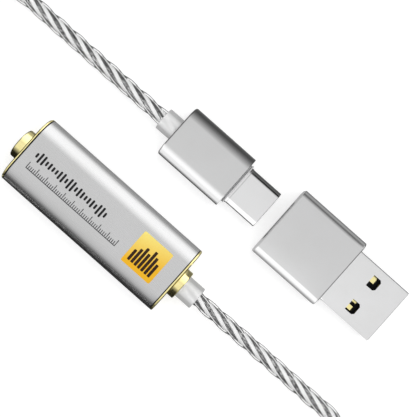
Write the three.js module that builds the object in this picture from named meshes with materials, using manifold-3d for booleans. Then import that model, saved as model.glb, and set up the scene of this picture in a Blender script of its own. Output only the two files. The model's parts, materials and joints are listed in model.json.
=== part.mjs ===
// A portable headphone converter: an aluminium in-line housing with a 3.5 mm jack at one end, a
// cable of four twisted cores at the other, a USB-C plug on the cable's far end, and a separate
// USB-C to USB-A adapter that slides onto the plug.
//
// Millimetres. The table top is z = 0 and +Z is up. +X runs from the jack to the cable, and the
// origin is the centre of the converter housing's flat underside.

import * as THREE from 'three';
import { mergeVertices } from 'three/addons/utils/BufferGeometryUtils.js';
import Module from 'manifold-3d';

const wasm = await Module();
wasm.setup();

// ---------------------------------------------------------------- driving dimensions

const CORNER_STEPS = 3;
const ROUND_SIDES = 28;
const CUT_MARGIN = 1;
// The gap that neighbouring pieces keep where they don't have to touch.
const GAP = 0.3;

const HOUSING = { length: 36.8, width: 14.7, height: 9.0, corner: 3.7, wall: 0.9 };
const END_PLATE = 0.6;
// A neck, through the end plate, holds the jack's barrel and the cable's gland.
const NECK = { diameter: 5.0, depth: 1.4, clearance: 0.15 };
const JACK = { barrel: 6.2, stand: 1.85, bore: 3.6, lip: 0.2 };
const JACK_BODY = { length: 11.4, width: 6.4, height: 6.0, boreDepth: 10.9, clearance: 0.05 };
const JACK_CONTACT = { width: 0.9, sheet: 0.2, tip: 1.7, foot: 1.2, slotLength: 1.3, slotHeight: 1.0 };
const GLAND = { diameter: 6.2, stand: 1.45, bore: 3.7, edge: 0.2 };
const SLEEVE = { diameter: 4.7, bore: 3.7, length: 3.65, plugLength: 3.5 };
const BOARD = { start: -17.0, end: 15.8, width: 11.2, thickness: 0.8, bottom: 2.6, notch: 3.45 };
const CORE = { diameter: 0.6, sides: 6, steps: 8, spread: 0.55, padPitch: 1.6 };
const BADGE = { x: 11.8, y: -0.1, length: 7.0, width: 7.1, thickness: 0.06, corner: 0.3 };
const CABLE = { diameter: 3.1, sides: 8, steps: 72 };

const PLUG_Y = 21.5;
const PLUG_Z = 3.5;
const PLUG = { start: -0.1, length: 15.1, width: 11.4, height: 7.0, corner: 2.5, wall: 0.65, back: 1.2 };
const COLLAR = { stand: 0.55, depth: 1.8, width: 9.1, height: 5.4, corner: 1.6 };
const C_SHELL = { width: 8.25, height: 2.4, wall: 0.25, start: 12.9, tip: 22.95 };
const C_INSERT = { width: 7.4, height: 1.6, front: 16.4 };
const C_COMB = { pins: 12, pitch: 0.5, finger: 0.25, bar: 0.5, sheet: 0.15, gap: 0.25, tipSetback: 0.6 };
const POTTING = { length: 4.4, width: 8.6, height: 4.9, corner: 1.2 };
const PLUG_BOARD = { start: 6.3, end: 12.6, width: 8.0, thickness: 0.8 };

const ADAPTER = { start: 25.9, length: 15.4, width: 15.35, height: 7.0, wall: 0.8, face: 1.2 };
const ADAPTER_CORNER = { outside: 1.2, inside: 0.8 };
const ADAPTER_BOARD = { width: 11.0, thickness: 0.8 };
const END_FRAME = { setback: 0.2, depth: 1.4, corner: 0.7 };
const C_SOCKET = { width: 9.1, height: 3.25, wall: 0.3, start: 26.1, end: 34.3 };
const TONGUE = { width: 6.69, height: 0.7, tip: 26.95, root: 33.2, contactSetback: 0.5, contactSheet: 0.08 };
const USB_A = { width: 12.0, height: 4.5, wall: 0.3, start: 38.3, tip: 53.45 };
const USB_A_CORNER = { outside: 0.45, inside: 0.25 };
const WINDOW = { x: 47.2, offset: 3.0, length: 2.0, width: 2.5 };
const A_INSULATOR = { width: 11.1, bottom: 1.7, top: 3.45, front: 52.8, backEnd: 41.8 };
const A_CONTACT = { width: 1.0, sheet: 0.15, outerTip: 51.9, innerTip: 50.9 };
const A_CONTACT_PLACES = [-3.5, -1.0, 1.0, 3.5];

const HOUSING_Z = HOUSING.height / 2;
const HALF_SHELL = HOUSING.length / 2;
const HALF_HOUSING = HALF_SHELL + END_PLATE;
const BOARD_TOP = BOARD.bottom + BOARD.thickness;
const JACK_BODY_START = -HALF_HOUSING + NECK.depth + GAP;
const GLAND_FACE = HALF_HOUSING + GLAND.stand;

// The cable's centre line, from the gland round to the plug. It leaves both ends straight,
// comes down onto the table and lies on it.
const CABLE_ROUTE = [
  [20.75, 0, 4.5],
  [28.3, 0, 3.9],
  [36.0, 0, 2.4],
  [43.3, 0, 1.7],
  [48.9, 0, 1.6],
  [53.7, 0, 1.6],
  [58.5, 0, 1.6],
  [61.9, -0.9, 1.6],
  [64.5, -3.4, 1.6],
  [65.5, -6.8, 1.6],
  [64.7, -10.3, 1.6],
  [62.3, -12.9, 1.6],
  [57.3, -16.2, 1.6],
  [46.1, -23.4, 1.6],
  [34.9, -30.6, 1.6],
  [23.7, -37.8, 1.6],
  [18.9, -40.9, 1.6],
  [15.2, -43.3, 1.6],
  [11.3, -44.8, 1.6],
  [7.2, -44.6, 1.6],
  [3.5, -42.7, 1.6],
  [0.6, -39.5, 1.6],
  [-2.9, -35.2, 1.6],
  [-7.7, -29.9, 1.6],
  [-15.5, -21.4, 1.6],
  [-23.3, -12.8, 1.6],
  [-31.0, -4.3, 1.6],
  [-38.8, 4.2, 1.6],
  [-43.9, 9.8, 1.6],
  [-45.4, 12.6, 1.6],
  [-45.6, 15.8, 1.6],
  [-44.3, 18.7, 1.6],
  [-41.8, 20.8, 1.6],
  [-38.7, 21.5, 1.6],
  [-34.0, 21.5, 1.6],
  [-29.0, 21.5, 1.6],
  [-24.1, 21.5, 1.6],
  [-16.6, 21.5, 2.2],
  [-8.9, 21.5, 3.3],
  [-0.4, 21.5, 3.5],
];

// ---------------------------------------------------------------- materials

function finish(color, roughness, metalness, opacity = 1) {
  return new THREE.MeshStandardMaterial({
    color, roughness, metalness, opacity, transparent: opacity < 1,
  });
}

const SILVER = finish(0xc9c9cb, 0.32, 1.0);
const GOLD = finish(0xf3dc8a, 0.18, 1.0);
const STEEL = finish(0xdcdcde, 0.16, 1.0);
const BLACK_PLASTIC = finish(0x151516, 0.5, 0.0);
const CLEAR_PLASTIC = finish(0xe6e8ea, 0.2, 0.0, 0.5);
const CABLE_SKIN = finish(0xd2d4d6, 0.25, 0.2);
const COPPER = finish(0xd8b45a, 0.3, 1.0);
const BOARD_GREEN = finish(0x12402a, 0.55, 0.0);
const CHIP_BLACK = finish(0x1d1e20, 0.6, 0.0);
const CAN_METAL = finish(0xc2c4c6, 0.28, 1.0);
const TANTALUM = finish(0xc79a35, 0.5, 0.0);
const LABEL_AMBER = finish(0xf2b632, 0.4, 0.0);
const WIRE_COLOURS = [0xb3312c, 0xf0f0ee, 0x2f7a44, 0x222224];

// ---------------------------------------------------------------- outlines

function roundedRect(width, height, radius) {
  const x = width / 2;
  const y = height / 2;
  const r = Math.min(radius, x, y);
  const shape = new THREE.Shape();
  shape.absarc(x - r, y - r, r, 0, Math.PI / 2);
  shape.absarc(r - x, y - r, r, Math.PI / 2, Math.PI);
  shape.absarc(r - x, r - y, r, Math.PI, 1.5 * Math.PI);
  shape.absarc(x - r, r - y, r, 1.5 * Math.PI, 2 * Math.PI);
  shape.closePath();
  return shape;
}

// The round-ended section of a USB-C shell.
function stadium(width, height) {
  return roundedRect(width, height, height / 2 - 0.001);
}

function circle(radius, sides = ROUND_SIDES) {
  return new THREE.Shape(Array.from({ length: sides }, (_, i) => {
    const angle = (2 * Math.PI * i) / sides;
    return new THREE.Vector2(radius * Math.cos(angle), radius * Math.sin(angle));
  }));
}

function withHole(outline, hole) {
  outline.holes.push(hole);
  return outline;
}

// ---------------------------------------------------------------- solids

// An outline drawn in Y (across) and Z (up), run along X.
function alongX(outline, from, to, y = 0, z = 0) {
  const geometry = new THREE.ExtrudeGeometry(outline, {
    depth: to - from, bevelEnabled: false, steps: 1, curveSegments: CORNER_STEPS,
  });
  geometry.applyMatrix4(new THREE.Matrix4().set(0, 0, 1, from, 1, 0, 0, y, 0, 1, 0, z, 0, 0, 0, 1));
  return geometry;
}

// An outline drawn in X and Y, run upwards.
function alongZ(outline, bottom, top) {
  const geometry = new THREE.ExtrudeGeometry(outline, {
    depth: top - bottom, bevelEnabled: false, steps: 1, curveSegments: CORNER_STEPS,
  });
  return geometry.translate(0, 0, bottom);
}

// A closed profile of [radius, x] pairs turned about an axis along X.
function turned(profile, y, z) {
  const points = [...profile, profile[0]].map(([radius, x]) => new THREE.Vector2(radius, x));
  const geometry = new THREE.LatheGeometry(points, ROUND_SIDES);
  geometry.applyMatrix4(new THREE.Matrix4().set(0, 1, 0, 0, 0, 0, 1, y, 1, 0, 0, z, 0, 0, 0, 1));
  return geometry;
}

function block(x0, x1, y0, y1, z0, z1) {
  const geometry = new THREE.BoxGeometry(x1 - x0, y1 - y0, z1 - z0);
  return geometry.translate((x0 + x1) / 2, (y0 + y1) / 2, (z0 + z1) / 2);
}

function rod(radius, from, to, y, z) {
  return alongX(circle(radius), from, to, y, z);
}

function welded(geometry) {
  const bare = geometry.clone();
  bare.deleteAttribute('normal');
  bare.deleteAttribute('uv');
  return mergeVertices(bare, 1e-4);
}

// Six times the signed volume: positive where the faces point outwards.
function signedVolume(geometry) {
  const { position } = geometry.attributes;
  const { index } = geometry;
  const corner = (i) => new THREE.Vector3().fromBufferAttribute(position, index.getX(i));
  let sum = 0;
  for (let i = 0; i < index.count; i += 3) {
    sum += corner(i).dot(corner(i + 1).cross(corner(i + 2)));
  }
  return sum;
}

function facingOut(geometry) {
  const closed = welded(geometry);
  if (signedVolume(closed) < 0) {
    const order = Array.from(closed.index.array);
    closed.setIndex(order.map((_, i) => order[i - (i % 3) + 2 - (i % 3)]));
  }
  return closed;
}

function toManifold(geometry) {
  const closed = facingOut(geometry);
  return new wasm.Manifold(new wasm.Mesh({
    numProp: 3,
    vertProperties: Float32Array.from(closed.attributes.position.array),
    triVerts: Uint32Array.from(closed.index.array),
  }));
}

function fromManifold(solid) {
  const { vertProperties, triVerts } = solid.getMesh();
  const geometry = new THREE.BufferGeometry();
  geometry.setAttribute('position', new THREE.BufferAttribute(vertProperties, 3));
  geometry.setIndex(new THREE.BufferAttribute(triVerts, 1));
  return geometry;
}

function cut(geometry, ...cutters) {
  const start = toManifold(geometry);
  return fromManifold(cutters.reduce((solid, tool) => solid.subtract(toManifold(tool)), start));
}

function joined(...geometries) {
  const [first, ...rest] = geometries.map(toManifold);
  return fromManifold(rest.reduce((solid, next) => solid.add(next), first));
}

// ---------------------------------------------------------------- assembly

const part = new THREE.Group();

function add(name, geometry, material) {
  const mesh = new THREE.Mesh(facingOut(geometry), material);
  mesh.name = name;
  part.add(mesh);
}

// ---------------------------------------------------------------- converter housing

function housingShell() {
  const { width, height, corner, wall } = HOUSING;
  const inside = roundedRect(width - 2 * wall, height - 2 * wall, corner - wall);
  const section = withHole(roundedRect(width, height, corner), inside);
  return alongX(section, -HALF_SHELL, HALF_SHELL, 0, HOUSING_Z);
}

function endPlate(from, to) {
  const hole = circle(NECK.diameter / 2 + NECK.clearance);
  const section = withHole(roundedRect(HOUSING.width, HOUSING.height, HOUSING.corner), hole);
  return alongX(section, from, to, 0, HOUSING_Z);
}

function jackBarrel() {
  const { barrel, stand, bore, lip } = JACK;
  const mouth = -HALF_HOUSING - stand;
  return turned([
    [bore / 2, -HALF_HOUSING + NECK.depth],
    [NECK.diameter / 2, -HALF_HOUSING + NECK.depth],
    [NECK.diameter / 2, -HALF_HOUSING],
    [barrel / 2, -HALF_HOUSING],
    [barrel / 2, mouth + lip],
    [barrel / 2 - lip, mouth],
    [bore / 2 + lip, mouth],
    [bore / 2, mouth + lip],
  ], 0, HOUSING_Z);
}

// Each spring contact stands on the board beside the jack body and reaches into its bore.
const JACK_CONTACTS = [
  { name: 'jack_contact_sleeve', x: -14.8, side: 1 },
  { name: 'jack_contact_ring', x: -11.6, side: -1 },
  { name: 'jack_contact_tip', x: -8.2, side: 1 },
];

function jackBody() {
  const { length, width, height, boreDepth, clearance } = JACK_BODY;
  const { slotLength, slotHeight } = JACK_CONTACT;
  const [start, end] = [JACK_BODY_START, JACK_BODY_START + length];
  const bore = rod(JACK.bore / 2 + clearance, start - CUT_MARGIN, start + boreDepth, 0, HOUSING_Z);
  const slots = JACK_CONTACTS.map(({ x, side }) => {
    const far = side * (width / 2 + CUT_MARGIN);
    return block(
      x - slotLength / 2, x + slotLength / 2, Math.min(0, far), Math.max(0, far),
      HOUSING_Z - slotHeight / 2, HOUSING_Z + slotHeight / 2,
    );
  });
  const body = block(
    start, end, -width / 2, width / 2, HOUSING_Z - height / 2, HOUSING_Z + height / 2,
  );
  return cut(body, bore, ...slots);
}

function jackContact({ x, side }) {
  const { width, sheet, tip, foot } = JACK_CONTACT;
  const leg = JACK_BODY.width / 2 + GAP;
  const outline = new THREE.Shape([
    [leg + foot, BOARD_TOP],
    [leg + foot, BOARD_TOP + sheet],
    [leg + sheet, BOARD_TOP + sheet],
    [leg + sheet, HOUSING_Z + sheet],
    [tip, HOUSING_Z + sheet],
    [tip, HOUSING_Z],
    [leg, HOUSING_Z],
    [leg, BOARD_TOP],
  ].map(([across, up]) => new THREE.Vector2(side * across, up)));
  return alongX(outline, x - width / 2, x + width / 2);
}

function mainBoard() {
  const { start, end, width, notch, bottom } = BOARD;
  const notchEnd = JACK_BODY_START + JACK_BODY.length + GAP;
  const outline = new THREE.Shape([
    [start, -width / 2],
    [end, -width / 2],
    [end, width / 2],
    [start, width / 2],
    [start, notch],
    [notchEnd, notch],
    [notchEnd, -notch],
    [start, -notch],
  ].map(([x, y]) => new THREE.Vector2(x, y)));
  return alongZ(outline, bottom, BOARD_TOP);
}

// name, centre x, centre y, length, width, height, material
const BOARD_PARTS = [
  ['converter_chip', -1.6, 0, 5.0, 5.0, 0.85, CHIP_BLACK],
  ['amplifier_chip', 3.8, 1.6, 3.6, 3.6, 0.8, CHIP_BLACK],
  ['usb_bridge_chip', 9.4, 0, 4.4, 4.4, 0.85, CHIP_BLACK],
  ['regulator', 3.8, -3.2, 2.9, 1.6, 1.1, CHIP_BLACK],
  ['crystal_can_1', -2.4, 4.2, 3.2, 2.2, 0.7, CAN_METAL],
  ['crystal_can_2', -2.4, -4.2, 3.2, 2.2, 0.7, CAN_METAL],
  ['capacitor_1', 8.2, 4.1, 3.2, 1.6, 1.6, TANTALUM],
  ['capacitor_2', 12.2, 4.1, 3.2, 1.6, 1.6, TANTALUM],
  ['capacitor_3', 8.2, -4.1, 3.2, 1.6, 1.6, TANTALUM],
  ['capacitor_4', 12.2, -4.1, 3.2, 1.6, 1.6, TANTALUM],
];

function boardPart(x, y, length, width, height) {
  return block(
    x - length / 2, x + length / 2, y - width / 2, y + width / 2, BOARD_TOP, BOARD_TOP + height,
  );
}

function cableGland() {
  const { diameter, bore, edge } = GLAND;
  return turned([
    [bore / 2, HALF_HOUSING - NECK.depth],
    [NECK.diameter / 2, HALF_HOUSING - NECK.depth],
    [NECK.diameter / 2, HALF_HOUSING],
    [diameter / 2, HALF_HOUSING],
    [diameter / 2, GLAND_FACE - edge],
    [diameter / 2 - edge, GLAND_FACE],
    [bore / 2, GLAND_FACE],
  ], 0, HOUSING_Z);
}

function sleeve(from, to, y, z) {
  const section = withHole(circle(SLEEVE.diameter / 2), circle(SLEEVE.bore / 2));
  return alongX(section, from, to, y, z);
}

// A round tube whose centre line follows the points.
function tube(points, diameter, sides, steps) {
  const path = new THREE.CatmullRomCurve3(
    points.map(([x, y, z]) => new THREE.Vector3(x, y, z)), false, 'catmullrom', 0.5,
  );
  return new THREE.ExtrudeGeometry(circle(diameter / 2, sides), {
    extrudePath: path, steps, bevelEnabled: false,
  });
}

// A core leaves the gland's bore and drops to its pad on the board.
function coreTail(i) {
  const { diameter, sides, steps, spread, padPitch } = CORE;
  const side = i < 2 ? -spread : spread;
  const exitZ = HOUSING_Z + (i % 2 ? spread : -spread);
  const padY = padPitch * (i - 1.5);
  const padZ = BOARD_TOP + diameter / 2;
  const boardEnd = BOARD.end;
  return tube([
    [GLAND_FACE - 0.2, side, exitZ],
    [boardEnd + 1.8, side, exitZ],
    [boardEnd + 0.5, (side + padY) / 2, (exitZ + padZ) / 2 + 0.15],
    [boardEnd - 0.6, padY, padZ + 0.12],
    [boardEnd - 1.6, padY, padZ + 0.08],
  ], diameter, sides, steps);
}

add('housing_shell', housingShell(), SILVER);
add('jack_end_plate', endPlate(-HALF_HOUSING, -HALF_SHELL), GOLD);
add('cable_end_plate', endPlate(HALF_SHELL, HALF_HOUSING), GOLD);
add('jack_barrel', jackBarrel(), GOLD);
add('jack_body', jackBody(), BLACK_PLASTIC);
for (const contact of JACK_CONTACTS) {
  add(contact.name, jackContact(contact), COPPER);
}
add('main_board', mainBoard(), BOARD_GREEN);
for (const [name, x, y, length, width, height, material] of BOARD_PARTS) {
  add(name, boardPart(x, y, length, width, height), material);
}
add('cable_gland', cableGland(), GOLD);
add('gland_sleeve', sleeve(GLAND_FACE, GLAND_FACE + SLEEVE.length, 0, HOUSING_Z), CLEAR_PLASTIC);
WIRE_COLOURS.forEach((color, i) => {
  add(`core_tail_${i + 1}`, coreTail(i), finish(color, 0.5, 0.0));
});
add('badge_label', alongZ(
  roundedRect(BADGE.length, BADGE.width, BADGE.corner), 0, BADGE.thickness,
).translate(BADGE.x, BADGE.y, HOUSING.height), LABEL_AMBER);
add('cable', tube(CABLE_ROUTE, CABLE.diameter, CABLE.sides, CABLE.steps), CABLE_SKIN);

// ---------------------------------------------------------------- USB-C plug

// A row of contacts joined by a bar: the fingers lie along X, between the two heights above PLUG_Z.
function contactComb(barStart, from, to, near, far) {
  const { pins, pitch, finger, bar } = C_COMB;
  const [bottom, top] = [PLUG_Z + Math.min(near, far), PLUG_Z + Math.max(near, far)];
  const half = ((pins - 1) * pitch + finger) / 2;
  const fingers = Array.from({ length: pins }, (_, i) => {
    const y = PLUG_Y + (i - (pins - 1) / 2) * pitch;
    return block(from, to, y - finger / 2, y + finger / 2, bottom, top);
  });
  return joined(block(barStart, barStart + bar, PLUG_Y - half, PLUG_Y + half, bottom, top), ...fingers);
}

function plugHousing() {
  const { start, length, width, height, corner, wall, back } = PLUG;
  const end = start + length;
  const body = alongX(roundedRect(width, height, corner), start, end, PLUG_Y, PLUG_Z);
  const inside = roundedRect(width - 2 * wall, height - 2 * wall, corner - wall);
  const cavity = alongX(inside, start + back, end + CUT_MARGIN, PLUG_Y, PLUG_Z);
  const cableHole = rod(SLEEVE.bore / 2, start - CUT_MARGIN, start + back + CUT_MARGIN, PLUG_Y, PLUG_Z);
  return cut(body, cavity, cableHole);
}

function plugCollar() {
  const { stand, depth, width, height, corner } = COLLAR;
  const face = PLUG.start + PLUG.length + stand;
  const hole = stadium(C_SHELL.width + GAP, C_SHELL.height + GAP);
  const section = withHole(roundedRect(width, height, corner), hole);
  return alongX(section, face - stand - depth, face, PLUG_Y, PLUG_Z);
}

function roundEndedTube(width, height, wall, from, to) {
  const hole = stadium(width - 2 * wall, height - 2 * wall);
  return alongX(withHole(stadium(width, height), hole), from, to, PLUG_Y, PLUG_Z);
}

const POTTING_START = PLUG.start + PLUG.back + GAP;
const PLUG_COMB = C_SHELL.height / 2 - C_SHELL.wall - C_COMB.gap;
const SIDES = [['top', 1], ['bottom', -1]];

function levelBoard(from, to, { width, thickness }) {
  return block(
    from, to, PLUG_Y - width / 2, PLUG_Y + width / 2, PLUG_Z - thickness / 2, PLUG_Z + thickness / 2,
  );
}

add('plug_sleeve', sleeve(PLUG.start - SLEEVE.plugLength, PLUG.start, PLUG_Y, PLUG_Z), CLEAR_PLASTIC);
add('c_plug_housing', plugHousing(), SILVER);
add('c_plug_potting', alongX(
  roundedRect(POTTING.width, POTTING.height, POTTING.corner),
  POTTING_START, POTTING_START + POTTING.length, PLUG_Y, PLUG_Z,
), BLACK_PLASTIC);
add('c_plug_board', levelBoard(PLUG_BOARD.start, PLUG_BOARD.end, PLUG_BOARD), BOARD_GREEN);
add('c_plug_collar', plugCollar(), CLEAR_PLASTIC);
add('c_plug_shell', roundEndedTube(
  C_SHELL.width, C_SHELL.height, C_SHELL.wall, C_SHELL.start, C_SHELL.tip,
), STEEL);
add('c_plug_insert', alongX(
  stadium(C_INSERT.width, C_INSERT.height), C_SHELL.start, C_INSERT.front, PLUG_Y, PLUG_Z,
), BLACK_PLASTIC);
for (const [side, sign] of SIDES) {
  const { front } = C_INSERT;
  add(`c_plug_contacts_${side}`, contactComb(
    front, front + 0.2, C_SHELL.tip - C_COMB.tipSetback,
    sign * PLUG_COMB, sign * (PLUG_COMB + C_COMB.sheet),
  ), GOLD);
}

// ---------------------------------------------------------------- USB-C to USB-A adapter

function adapterHousing() {
  const { start, length, width, height, wall, face } = ADAPTER;
  const end = start + length;
  const outside = roundedRect(width, height, ADAPTER_CORNER.outside);
  const body = alongX(outside, start, end, PLUG_Y, PLUG_Z);
  const inside = roundedRect(width - 2 * wall, height - 2 * wall, ADAPTER_CORNER.inside);
  const cavity = alongX(inside, start + face, end + CUT_MARGIN, PLUG_Y, PLUG_Z);
  const mouth = stadium(C_SOCKET.width + GAP, C_SOCKET.height + GAP);
  const opening = alongX(mouth, start - CUT_MARGIN, start + face + CUT_MARGIN, PLUG_Y, PLUG_Z);
  return cut(body, cavity, opening);
}

function socketTongue() {
  const { width, height, tip, root } = TONGUE;
  const inset = 2 * C_SOCKET.wall + GAP;
  const base = alongX(
    stadium(C_SOCKET.width - inset, C_SOCKET.height - inset), root, C_SOCKET.end, PLUG_Y, PLUG_Z,
  );
  const tongue = block(
    tip, root + 0.5, PLUG_Y - width / 2, PLUG_Y + width / 2, PLUG_Z - height / 2, PLUG_Z + height / 2,
  );
  return joined(base, tongue);
}

function usbAShell() {
  const { width, height, wall, start, tip } = USB_A;
  const inside = roundedRect(width - 2 * wall, height - 2 * wall, USB_A_CORNER.inside);
  const section = withHole(roundedRect(width, height, USB_A_CORNER.outside), inside);
  const windows = [-1, 1].map((side) => block(
    WINDOW.x - WINDOW.length / 2, WINDOW.x + WINDOW.length / 2,
    PLUG_Y + side * WINDOW.offset - WINDOW.width / 2, PLUG_Y + side * WINDOW.offset + WINDOW.width / 2,
    PLUG_Z - height, PLUG_Z + height,
  ));
  return cut(alongX(section, start, tip, PLUG_Y, PLUG_Z), ...windows);
}

function usbAInsulator() {
  const { width, bottom, top, front, backEnd } = A_INSULATOR;
  const [y0, y1] = [PLUG_Y - width / 2, PLUG_Y + width / 2];
  const back = block(USB_A.start + 0.2, backEnd, y0, y1, bottom, 2 * PLUG_Z - bottom);
  return joined(back, block(backEnd - 1, front, y0, y1, bottom, top));
}

function usbAEndFrame() {
  const end = ADAPTER.start + ADAPTER.length - END_FRAME.setback;
  const inset = 2 * ADAPTER.wall + GAP;
  const outline = roundedRect(ADAPTER.width - inset, ADAPTER.height - inset, END_FRAME.corner);
  const hole = roundedRect(USB_A.width + GAP, USB_A.height + GAP, USB_A_CORNER.outside);
  return alongX(withHole(outline, hole), end - END_FRAME.depth, end, PLUG_Y, PLUG_Z);
}

add('adapter_housing', adapterHousing(), SILVER);
add('c_socket_shell', roundEndedTube(
  C_SOCKET.width, C_SOCKET.height, C_SOCKET.wall, C_SOCKET.start, C_SOCKET.end,
), STEEL);
add('c_socket_tongue', socketTongue(), BLACK_PLASTIC);
for (const [side, sign] of SIDES) {
  const { tip, root, height, contactSetback, contactSheet } = TONGUE;
  add(`c_socket_contacts_${side}`, contactComb(
    root - 0.1 - C_COMB.bar, tip + contactSetback, root - GAP,
    sign * height / 2, sign * (height / 2 + contactSheet),
  ), GOLD);
}
add('adapter_board', levelBoard(C_SOCKET.end + GAP, USB_A.start - GAP, ADAPTER_BOARD), BOARD_GREEN);
add('adapter_end_frame', usbAEndFrame(), BLACK_PLASTIC);
add('usb_a_shell', usbAShell(), STEEL);
add('usb_a_insulator', usbAInsulator(), BLACK_PLASTIC);
A_CONTACT_PLACES.forEach((y, i) => {
  const isOuter = i === 0 || i === A_CONTACT_PLACES.length - 1;
  const tip = isOuter ? A_CONTACT.outerTip : A_CONTACT.innerTip;
  add(`usb_a_contact_${i + 1}`, block(
    A_INSULATOR.backEnd, tip, PLUG_Y + y - A_CONTACT.width / 2, PLUG_Y + y + A_CONTACT.width / 2,
    A_INSULATOR.top, A_INSULATOR.top + A_CONTACT.sheet,
  ), GOLD);
});

export default part;
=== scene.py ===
import json
import math

import bmesh
import bpy
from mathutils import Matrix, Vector


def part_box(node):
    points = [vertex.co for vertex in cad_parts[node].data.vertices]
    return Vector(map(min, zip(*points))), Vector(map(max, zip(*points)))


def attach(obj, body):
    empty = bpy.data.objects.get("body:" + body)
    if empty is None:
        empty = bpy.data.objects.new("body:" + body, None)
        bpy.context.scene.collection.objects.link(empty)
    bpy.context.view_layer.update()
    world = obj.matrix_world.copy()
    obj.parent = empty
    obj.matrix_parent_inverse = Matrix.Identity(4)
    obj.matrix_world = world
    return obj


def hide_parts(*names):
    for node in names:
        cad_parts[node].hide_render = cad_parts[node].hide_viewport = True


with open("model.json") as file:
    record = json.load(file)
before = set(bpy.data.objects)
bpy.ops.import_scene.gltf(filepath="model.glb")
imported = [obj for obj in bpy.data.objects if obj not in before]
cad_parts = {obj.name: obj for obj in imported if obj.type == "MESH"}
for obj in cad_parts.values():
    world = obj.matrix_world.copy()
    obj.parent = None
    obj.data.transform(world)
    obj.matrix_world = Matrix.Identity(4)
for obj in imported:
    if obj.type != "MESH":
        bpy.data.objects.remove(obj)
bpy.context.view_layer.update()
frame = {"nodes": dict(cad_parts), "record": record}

MM = 0.001
MICRON = 0.000001


# ------------ places, in millimetres


def span(node):
    """A CAD node's lowest and highest corner, in millimetres."""
    low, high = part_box(node)
    return low / MM, high / MM


CASE_LOW, CASE_HIGH = span("housing_shell")
CASE_Z = (CASE_LOW.z + CASE_HIGH.z) / 2
CASE_TOP = CASE_HIGH.z
PLATE_OUT = span("cable_end_plate")[1].x
BARREL_LOW = span("jack_barrel")[0]
GLAND_HIGH = span("cable_gland")[1]
PLUG_LOW, PLUG_HIGH = span("c_plug_housing")
PLUG_Y = (PLUG_LOW.y + PLUG_HIGH.y) / 2
PLUG_Z = (PLUG_LOW.z + PLUG_HIGH.z) / 2
ADAPTER_LOW, ADAPTER_HIGH = span("adapter_housing")

ARC_STEPS = 10
ROUND_STEPS = 48
SMOOTH_BELOW = 35.0

# ------------ camera

VIEW_CENTRE = (14.3, 14.3)
CAMERA_HEIGHT = 190.0
CAMERA_TURN = 41.6
VIEW_HALF = 39.5
VIEW_LEVEL = 5.75

lens_data = bpy.data.cameras.new("camera")
lens_data.sensor_width = 36.0
lens_data.lens = 18.0 * (CAMERA_HEIGHT - VIEW_LEVEL) / VIEW_HALF
lens_data.clip_start = 0.01
lens_data.clip_end = 10.0
camera = bpy.data.objects.new("camera", lens_data)
bpy.context.scene.collection.objects.link(camera)
camera.location = Vector((*VIEW_CENTRE, CAMERA_HEIGHT)) * MM
camera.rotation_euler = (0, 0, math.radians(CAMERA_TURN))
bpy.context.scene.camera = camera

# ------------ material helpers


# A colour Mix node's sockets: its two colours, and the colour that comes out.
MIX_FIRST, MIX_SECOND, MIXED = 6, 7, 2


class Paint:
    """A node material: one Principled shader, with helpers that feed its sockets."""

    def __init__(self, name, **sockets):
        self.material = bpy.data.materials.new(name)
        self.material.use_nodes = True
        self.nodes = self.material.node_tree.nodes
        self.links = self.material.node_tree.links
        self.shader = self.nodes["Principled BSDF"]
        for socket, value in sockets.items():
            self.shader.inputs[socket.replace("_", " ")].default_value = value

    def node(self, kind, inputs=(), **settings):
        """Adds a node. inputs are (socket, value or output) pairs."""
        made = self.nodes.new("ShaderNode" + kind)
        for name, value in settings.items():
            setattr(made, name, value)
        for socket, value in inputs:
            if isinstance(value, bpy.types.NodeSocket):
                self.links.new(value, made.inputs[socket])
            else:
                made.inputs[socket].default_value = value
        return made

    def feed(self, socket, output):
        self.links.new(output, self.shader.inputs[socket])

    def place(self, stretch=(1, 1, 1)):
        """The piece's own coordinates in metres, stretched along each axis."""
        where = self.node("TexCoord")
        return self.node("Mapping", [("Vector", where.outputs["Object"]), ("Scale", stretch)]).outputs[0]

    def noise(self, scale, stretch=(1, 1, 1), detail=4.0, rough=0.6):
        inputs = [("Vector", self.place(stretch)), ("Scale", scale)]
        inputs += [("Detail", detail), ("Roughness", rough)]
        return self.node("TexNoise", inputs).outputs["Fac"]

    def spread(self, value, low, high, start=0.3, end=0.7):
        """value from start to end, as a number from low to high."""
        inputs = [("Value", value), ("From Min", start), ("From Max", end)]
        inputs += [("To Min", low), ("To Max", high)]
        return self.node("MapRange", inputs).outputs[0]

    def blend(self, share, first, second):
        """first where share is 0 and second where it is 1. first and second are outputs or colours."""
        inputs = [("Factor", share), (MIX_FIRST, first), (MIX_SECOND, second)]
        return self.node("Mix", inputs, data_type="RGBA").outputs[MIXED]

    def graded(self, value, stops):
        """value through a ramp of (place, grey level) stops."""
        made = self.node("ValToRGB", [("Fac", value)])
        ramp = made.color_ramp
        for end in (0, -1):
            place, level = stops[end]
            ramp.elements[end].position = place
            ramp.elements[end].color = grey(level)
        for place, level in stops[1:-1]:
            ramp.elements.new(place).color = grey(level)
        return made.outputs["Color"]

    def facing(self, stops):
        """A grey by how far the surface turns from the eye. Fed to a colour, it is painted shade that
        darkens clear plastic towards its edges.
        """
        return self.graded(self.node("LayerWeight", [("Blend", 0.5)]).outputs["Facing"], stops)

    def bump(self, height, depth):
        """height from 0 to 1 stands for depth, in metres."""
        made = self.node("Bump", [("Height", height), ("Distance", depth), ("Strength", 1.0)])
        self.feed("Normal", made.outputs[0])


def grey(level):
    return (level, level, level, 1.0)


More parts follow.
